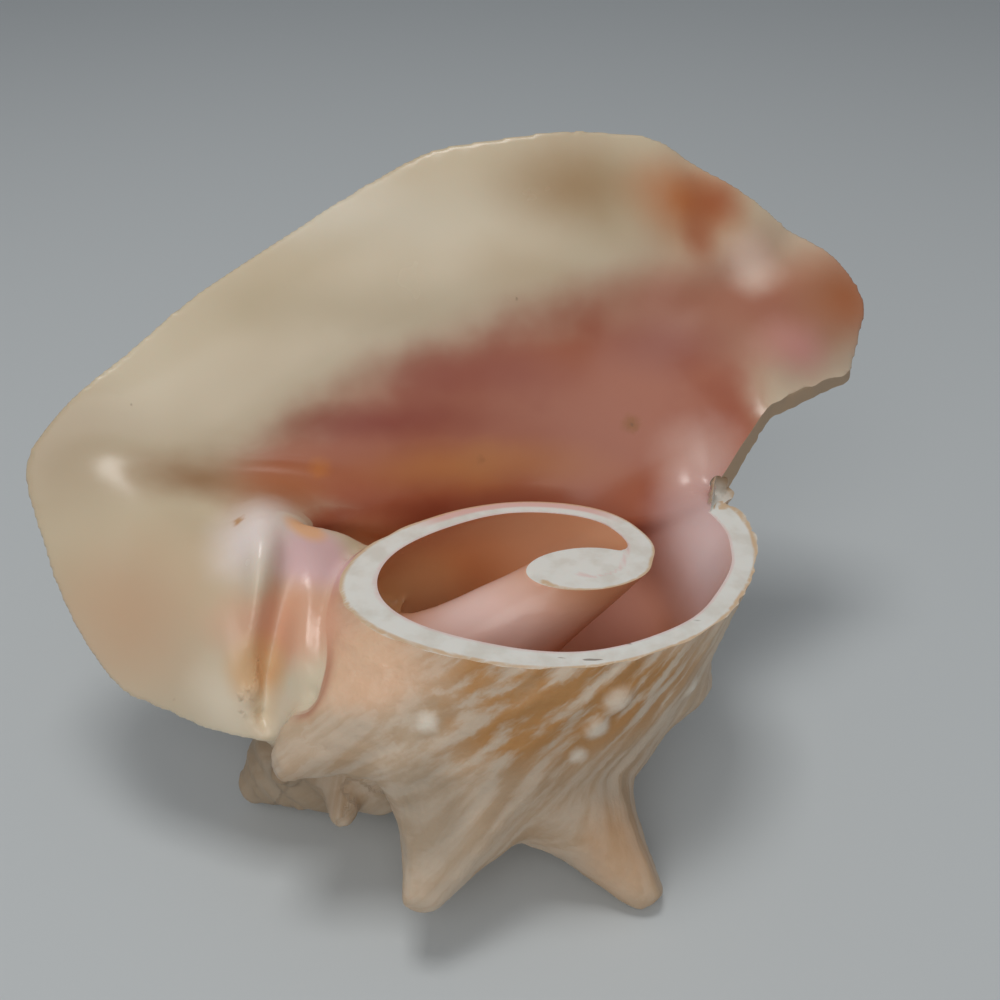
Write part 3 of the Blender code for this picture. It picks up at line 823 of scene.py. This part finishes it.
# Soft patches of colour in the glaze: centre, reach, colour and strength, deepest layer first.
GLAZE_PATCHES = (
    # lighter cream along the rim of the wing; inside it a greyer band that is painted shade, a tan patch,
    # and brown-grey painted shade towards the front end
    ((-36, 58, 136), (62, 22, 16), (230, 219, 198), 0.8),
    ((-34, 42, 114), (60, 18, 12), (196, 178, 146), 0.7),
    ((14, 51, 121), (30, 16, 14), (194, 166, 128), 0.45),
    ((30, 65, 140), (34, 20, 22), (168, 130, 86), 0.75),
    # darker cream at the spire end of the wing
    ((-104, 6, 90), (36, 26, 28), (196, 176, 148), 0.9),
    # peach lobe at the spire end, with painted light making its lower end paler
    ((-80, -24, 60), (46, 32, 30), (216, 178, 144), 0.8),
    ((-58, -44, 50), (15, 15, 17), (244, 228, 204), 0.85),
    # brown painted shade in the valley between the wing and the lobe
    ((-70, 10, 80), (40, 15, 10), (160, 120, 84), 0.9),
    ((-46, 14, 76), (26, 18, 9), (182, 112, 72), 0.85),
    # painted highlight, pinkish white, where the lobe rolls into the groove
    ((-52, -16, 80), (17, 26, 14), (252, 238, 234), 0.95),
    # peach-pink front end of the lip
    ((84, 52, 110), (60, 38, 36), (184, 122, 100), 1.0),
    ((58, 50, 112), (40, 20, 15), (176, 112, 88), 0.9),
    # rose streaks in the hollow
    ((-24, 30, 85), (50, 14, 7), (150, 62, 42), 0.85),
    ((2, 38, 95), (44, 13, 10), (162, 80, 58), 0.75),
    ((56, 46, 100), (28, 14, 11), (158, 84, 66), 0.8),
    # orange floor of the hollow
    ((2, 28, 72), (50, 18, 10), (204, 132, 74), 0.85),
    # pale lilac at the front end
    ((64, 23, 77), (20, 18, 16), (236, 200, 188), 0.65),
    ((92, 46, 100), (20, 14, 11), (216, 152, 142), 0.85),
    # folded rim: orange ground, reddish brown stain, and a painted highlight on the pale fold beside it
    ((60, 69, 134), (24, 16, 22), (198, 124, 74), 1.0),
    ((68, 71, 134), (15, 12, 13), (174, 94, 52), 0.85),
    ((64, 64, 125), (8, 10, 16), (172, 98, 62), 0.8),
    ((80, 61, 118), (13, 11, 16), (240, 210, 192), 0.85),
    # orange corner of the rim
    ((109, 62, 108), (32, 22, 24), (184, 110, 68), 0.95),
    # brown depth of the cut whorl, lighter towards its end
    ((-8, 4, 52), (36, 22, 20), (216, 140, 86), 0.9),
    ((-25, 1, 47), (32, 25, 24), (255, 216, 164), 1.0),
    # pink pillar and the lilac wall of the body whorl
    ((4, -24, 60), (38, 22, 20), (250, 216, 208), 0.95),
    ((40, 8, 36), (28, 26, 26), (246, 190, 170), 0.95),
    ((64, -4, 62), (24, 40, 28), (252, 230, 230), 0.98),
)
# Glaze that ran over callus and wall alike, and patches on the outside, one of them painted shade: centre,
# reach, colour and strength.
FLOWED_GLAZE_AND_SHADE_PATCHES = (
    # lilac callus beside the opening, orange at its back edge
    ((-37, -17, 73), (17, 15, 12), (236, 196, 198), 0.9),
    ((-40, -9, 77), (9, 6, 5), (252, 196, 146), 0.85),
    # orange-brown band across groove and wall, yellower in the groove's depth
    ((-41, -33, 65), (26, 17, 12), (230, 176, 146), 0.9),
    ((-50, -40, 57), (10, 12, 11), (232, 188, 140), 0.85),
    # beige lower end of the groove and the wall beside it
    ((-44, -48, 49), (13, 11, 11), (232, 214, 188), 0.8),
    # warm tip of the front spine, and painted shade on the left side of the middle one
    ((38, -64, 20), (14, 14, 20), (214, 166, 122), 0.5),
    ((-8, -69, 38), (12, 14, 22), (150, 134, 114), 0.5),
)
# Rust spots on the glaze: centre, size, colour, strength.
RUST_SPOTS = (
    ((45, 33, 83), 3.6, (156, 90, 24), 0.95),
    ((45, 33, 83), 0.9, (96, 52, 18), 0.8),
    ((3, 30, 73), 1.8, (150, 88, 44), 0.8),
    ((3, 30, 73), 9.0, (196, 126, 70), 0.6),
    ((-41, 21, 76), 4.5, (204, 124, 58), 0.6),
    ((-57, -10, 79), 2.6, (196, 136, 70), 0.8),
    ((13, 48, 114), 0.9, (96, 84, 60), 0.9),
    ((-44, -24, 72), 0.6, (120, 80, 50), 0.8),
    ((-89, 20, 96), 0.8, (110, 90, 70), 0.7),
    ((-72, -40, 47), 1.0, (130, 80, 50), 0.8),
)


def shell_skin():
    f = Finish("shell skin")
    out = f.mark("out")
    across_mark = f.mark("across")
    glaze_mark = f.mark("glaze")
    cloud = f.cloud(28, 4)
    # From the cream rim inwards: rose, then orange in the depth of the turns.
    uneven = f.maths("ADD", out, f.maths("MULTIPLY", f.maths("SUBTRACT", cloud, 0.5), 0.18))
    lean = f.maths("MULTIPLY", across_mark, 0.28)
    leaning = f.maths("ADD", uneven, f.maths("SUBTRACT", lean, 0.14))
    rose = f.maths("MULTIPLY", f.ramp(leaning, 0.6, 0.32), f.ramp(across_mark, 0.86, 0.7))
    inner_turns = f.ramp(out, 0.06, -0.1)
    rose = f.maths("MAXIMUM", rose, inner_turns)
    deep = f.ramp(out, -0.3, -1.4)
    glaze = f.blend(f.ramp(f.cloud(14, 2), 0.35, 0.65), srgb(224, 209, 182), srgb(212, 194, 164))
    glaze = f.blend(rose, glaze, srgb(178, 104, 76))
    glaze = f.blend(f.maths("MULTIPLY", f.ramp(f.cloud(34, 3), 0.45, 0.7), rose), glaze, srgb(166, 88, 62))
    glaze = f.blend(deep, glaze, srgb(218, 158, 120))
    for centre, reach, colour, strength in GLAZE_PATCHES:
        mask = f.maths("MULTIPLY", f.patch(centre, reach), strength)
        glaze = f.blend(mask, glaze, srgb(*colour))
    for centre, size, colour, strength in RUST_SPOTS:
        mask = f.patch(centre, (size,) * 3, warp=2.5, edge=0.1, grain=500.0)
        glaze = f.blend(f.maths("MULTIPLY", mask, strength), glaze, srgb(*colour))
    # Chalky outside: cream with ochre streaks along the growth lines, strongest under the cut.
    grown = f.mark("growth")
    combine = f.nodes.new("ShaderNodeCombineXYZ")
    f.links.new(f.maths("MULTIPLY", grown, 0.26), combine.inputs[0])
    f.links.new(f.maths("MULTIPLY", across_mark, 6.0), combine.inputs[1])
    streak = f.cloud(1.0, 5, combine.outputs[0])
    chalk = f.blend(f.ramp(f.cloud(22, 4), 0.35, 0.7), srgb(200, 178, 152), srgb(178, 150, 120))
    chalk = f.blend(f.maths("MULTIPLY", f.ramp(streak, 0.62, 0.42), 0.3), chalk, srgb(236, 224, 208))
    ochre = f.maths("MULTIPLY", f.ramp(streak, 0.36, 0.56), f.ramp(f.cloud(38, 5), 0.26, 0.5))
    under_cut = f.patch((22, -56, 62), (58, 30, 23), warp=9, edge=0.4)
    ochre = f.maths("MULTIPLY", ochre, f.maths("MULTIPLY_ADD", under_cut, 0.85, 0.1))
    chalk = f.blend(ochre, chalk, srgb(186, 134, 76))
    peach = f.patch((-24, -46, 64), (34, 18, 15), warp=8, edge=0.3)
    chalk = f.blend(f.maths("MULTIPLY", peach, 0.85), chalk, srgb(240, 198, 164))
    old_turns = f.patch((-48, -42, 16), (34, 30, 26), warp=6, edge=0.3)
    chalk = f.blend(f.maths("MULTIPLY", old_turns, 0.65), chalk, srgb(150, 130, 106))
    for centre, size, _ in KNOBS:
        mask = f.patch(centre, (size,) * 3, warp=2.0, edge=0.2, grain=300.0)
        chalk = f.blend(f.maths("MULTIPLY", mask, 0.8), chalk, srgb(238, 228, 212))
    skin = f.blend(glaze_mark, chalk, glaze)
    for centre, reach, colour, strength in FLOWED_GLAZE_AND_SHADE_PATCHES:
        mask = f.patch(centre, reach, warp=3.0, edge=0.35)
        skin = f.blend(f.maths("MULTIPLY", mask, strength), skin, srgb(*colour))
    f.links.new(skin, f.surface.inputs["Base Color"])
    # Gloss and fine relief.
    glossy = f.maths("MAXIMUM", glaze_mark, f.maths("MULTIPLY", peach, 0.8))
    rough = f.maths("MULTIPLY_ADD", glossy, -0.34, 0.56)
    f.links.new(f.maths("MULTIPLY_ADD", cloud, 0.08, rough), f.surface.inputs["Roughness"])
    f.surface.inputs["Subsurface Weight"].default_value = 0.12
    f.surface.inputs["Subsurface Radius"].default_value = (1.0, 0.5, 0.35)
    f.surface.inputs["Subsurface Scale"].default_value = 0.004
    fine = f.maths("ADD", f.cloud(420, 3), f.maths("MULTIPLY", streak, 1.6))
    relief = f.maths("MULTIPLY", fine, f.maths("MULTIPLY_ADD", glaze_mark, -0.96, 1.0))
    bump = f.nodes.new("ShaderNodeBump")
    bump.inputs["Strength"].default_value = 0.5
    bump.inputs["Distance"].default_value = 0.0005
    f.links.new(relief, bump.inputs["Height"])
    f.links.new(bump.outputs["Normal"], f.surface.inputs["Normal"])
    return f.material


def sawn_face():
    f = Finish("sawn shell")
    depth = f.mark("depth")
    colour = f.blend(f.ramp(f.cloud(160, 3), 0.4, 0.7), srgb(238, 238, 232), srgb(226, 223, 214))
    # Pink callus layers outside the back of the ring, a yellow-brown skin line elsewhere.
    callus_layers = f.maths("MULTIPLY", f.patch((10, 10, 70), (42, 14, 12), warp=3, edge=0.5), 0.9)
    band = f.maths("MULTIPLY", f.ramp(depth, 3.2, 2.0), callus_layers)
    colour = f.blend(band, colour, srgb(234, 188, 180))
    outer_line = f.ramp(depth, 0.9, 0.3)
    colour = f.blend(f.maths("MULTIPLY", outer_line, 0.75), colour, srgb(212, 170, 118))
    inner_line = f.maths("MULTIPLY", f.ramp(f.mark("inner_depth"), 0.9, 0.2), 0.6)
    colour = f.blend(inner_line, colour, srgb(236, 200, 196))
    # The pillar is a tight roll, and the seam of its last turn still shows as a thin slit.
    slit = f.ramp(f.mark("inner_depth"), 0.5, 0.15)
    seam = f.maths("MULTIPLY", slit, f.patch((24, -6, 70), (20, 14, 8), edge=0.6))
    colour = f.blend(seam, colour, srgb(150, 108, 88))
    # Dark flecks along the layers, and one green speck in the pillar.
    stretched = f.nodes.new("ShaderNodeMapping")
    stretched.inputs["Scale"].default_value = (120, 620, 600)
    f.links.new(f.place, stretched.inputs["Vector"])
    fleck = f.ramp(f.cloud(1.0, 2, stretched.outputs["Vector"]), 0.67, 0.72)
    front_rim = f.patch((30, -46, 70), (44, 16, 12), warp=3, edge=0.6)
    fleck = f.maths("MULTIPLY", fleck, f.maths("MULTIPLY", front_rim, 0.75))
    colour = f.blend(fleck, colour, srgb(120, 104, 92))
    speck = f.patch((31, -6, 70), (1.3, 1.0, 1.3), warp=0.6, edge=0.3, grain=500.0)
    colour = f.blend(f.maths("MULTIPLY", speck, 0.8), colour, srgb(176, 168, 96))
    # The second cut is browner: partly its own brownish colour, partly painted shade, as it faces away
    # from the light.
    second_cut = f.patch((94, 38, 94), (56, 54, 34), warp=2, edge=0.8)
    colour = f.blend(second_cut, colour, srgb(176, 150, 122))
    f.links.new(colour, f.surface.inputs["Base Color"])
    f.surface.inputs["Roughness"].default_value = 0.5
    f.surface.inputs["Subsurface Weight"].default_value = 0.12
    f.surface.inputs["Subsurface Radius"].default_value = (1.0, 0.7, 0.6)
    f.surface.inputs["Subsurface Scale"].default_value = 0.004
    return f.material


shell.data.materials.clear()
shell.data.materials.append(shell_skin())
saw = mesh_object("saw", [saw_block()])
saw.data.materials.append(sawn_face())
bpy.ops.mesh.primitive_ico_sphere_add(
    subdivisions=3, radius=CHIP_REACH * MM, location=[c * MM for c in CHIP_PLACE]
)
chip = bpy.context.object
chip.data.materials.append(saw.data.materials[0])
for name, taken in (("chipped", chip), ("sawn", saw)):
    cut = shell.modifiers.new(name, "BOOLEAN")
    cut.operation = "DIFFERENCE"
    cut.solver = "EXACT"
    cut.material_mode = "TRANSFER"
    cut.object = taken
set_modifiers(shell)
bpy.data.objects.remove(saw)
bpy.data.objects.remove(chip)


WELD_GAP = 0.02


def weld(mesh, gap):
    """Joins points closer than the gap and drops crumbs that the cuts left loose."""
    made = bmesh.new()
    made.from_mesh(mesh)
    bmesh.ops.remove_doubles(made, verts=made.verts, dist=gap)
    bmesh.ops.dissolve_degenerate(made, edges=made.edges, dist=gap)
    unseen = set(made.verts)
    largest = []
    while unseen:
        found = [unseen.pop()]
        for vertex in found:
            for edge in vertex.link_edges:
                other = edge.other_vert(vertex)
                if other in unseen:
                    unseen.remove(other)
                    found.append(other)
        largest = max(largest, found, key=len)
    kept = set(largest)
    loose = [vertex for vertex in made.verts if vertex not in kept]
    bmesh.ops.delete(made, geom=loose, context="VERTS")
    made.to_mesh(mesh)
    made.free()


weld(shell.data, WELD_GAP * MM)


def write_mark(mesh, name, values):
    attribute = mesh.attributes.new(name, "FLOAT", "POINT")
    attribute.data.foreach_set("value", np.asarray(values, np.float32))


# Callus takes the colours of a place far out on the lip.
CREAM_OUT = 0.9
CALLUS_REACH = 5.0
# Depth written where nothing was sawn.
NOT_SAWN = 5.0
SHARP_ANGLE = 50

points = read_points(shell.data)
side, grown_to, across, near = along_wall(points)
outer_near = KDTree(GRID_COUNT)
inner_near = KDTree(GRID_COUNT)
for tree, grid in ((outer_near, wall_outer), (inner_near, wall_inner)):
    for index, point in enumerate(grid.reshape(-1, 3)):
        tree.insert(point, index)
    tree.balance()
on_callus = near_callus(points, CALLUS_REACH)
out = (grown_to - lip_start) / lip_width * (1 - on_callus) + CREAM_OUT * on_callus
write_mark(shell.data, "out", out)
write_mark(shell.data, "growth", grown_to)
write_mark(shell.data, "across", across)
write_mark(shell.data, "glaze", how_glazed(points, side, grown_to, near))
level = np.zeros(len(points), bool)
for face in shell.data.polygons:
    if face.material_index == 1:
        level[list(face.vertices)] = True
depth = np.full(len(points), NOT_SAWN)
inner_depth = np.full(len(points), NOT_SAWN)
for index in np.flatnonzero(level):
    depth[index] = outer_near.find(points[index])[2]
    inner_depth[index] = inner_near.find(points[index])[2]
write_mark(shell.data, "depth", depth)
write_mark(shell.data, "inner_depth", inner_depth)

for face in shell.data.polygons:
    face.use_smooth = True
shell.data.set_sharp_from_angle(angle=math.radians(SHARP_ANGLE))
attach(shell, "root")
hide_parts("conch_shell")


# The floor, lights and camera: a plain pale studio. The camera's height, tilt and focal length are
# chosen, because the photograph doesn't fix them.
CAMERA_PLACE = (0.0084, -0.2606, 0.2483)
CAMERA_TILT = math.radians(57)
FOCAL_PIXELS = 1207
FRAME_PIXELS = 1000

floor_mesh = bpy.data.meshes.new("floor")
floor_mesh.from_pydata([(-3, -3, 0), (3, -3, 0), (3, 3, 0), (-3, 3, 0)], [], [(0, 1, 2, 3)])
floor = bpy.data.objects.new("floor", floor_mesh)
bpy.context.scene.collection.objects.link(floor)
floor_finish = bpy.data.materials.new("pale floor")
floor_finish.use_nodes = True
floor_finish.node_tree.nodes["Principled BSDF"].inputs["Base Color"].default_value = (0.62, 0.66, 0.68, 1)
floor_finish.node_tree.nodes["Principled BSDF"].inputs["Roughness"].default_value = 0.8
floor.data.materials.append(floor_finish)


def soft_light(name, place_at, aim, power, size, colour):
    lamp = bpy.data.lights.new(name, "AREA")
    lamp.energy = power
    lamp.size = size
    lamp.color = colour
    made = bpy.data.objects.new(name, lamp)
    made.location = place_at
    made.rotation_euler = (Vector(aim) - Vector(place_at)).to_track_quat("-Z", "Y").to_euler()
    bpy.context.scene.collection.objects.link(made)
    return made


soft_light("overhead", (-0.14, 0.02, 1.3), (0, 0, 0.08), 4.5, 0.42, (1.0, 0.98, 0.95))
soft_light("front fill", (-0.15, -0.95, 0.75), (0, 0, 0.08), 4.0, 0.9, (1.0, 0.97, 0.93))
world = bpy.data.worlds.new("studio")
world.use_nodes = True
world.node_tree.nodes["Background"].inputs["Color"].default_value = (0.85, 0.88, 0.92, 1)
world.node_tree.nodes["Background"].inputs["Strength"].default_value = 0.25
bpy.context.scene.world = world
bpy.context.scene.view_settings.view_transform = "Standard"

lens = bpy.data.cameras.new("camera")
lens.angle = 2 * math.atan(FRAME_PIXELS / 2 / FOCAL_PIXELS)
lens.clip_start = 0.01
camera = bpy.data.objects.new("camera", lens)
camera.location = CAMERA_PLACE
camera.rotation_euler = (CAMERA_TILT, 0, 0)
bpy.context.scene.collection.objects.link(camera)
bpy.context.scene.camera = camera
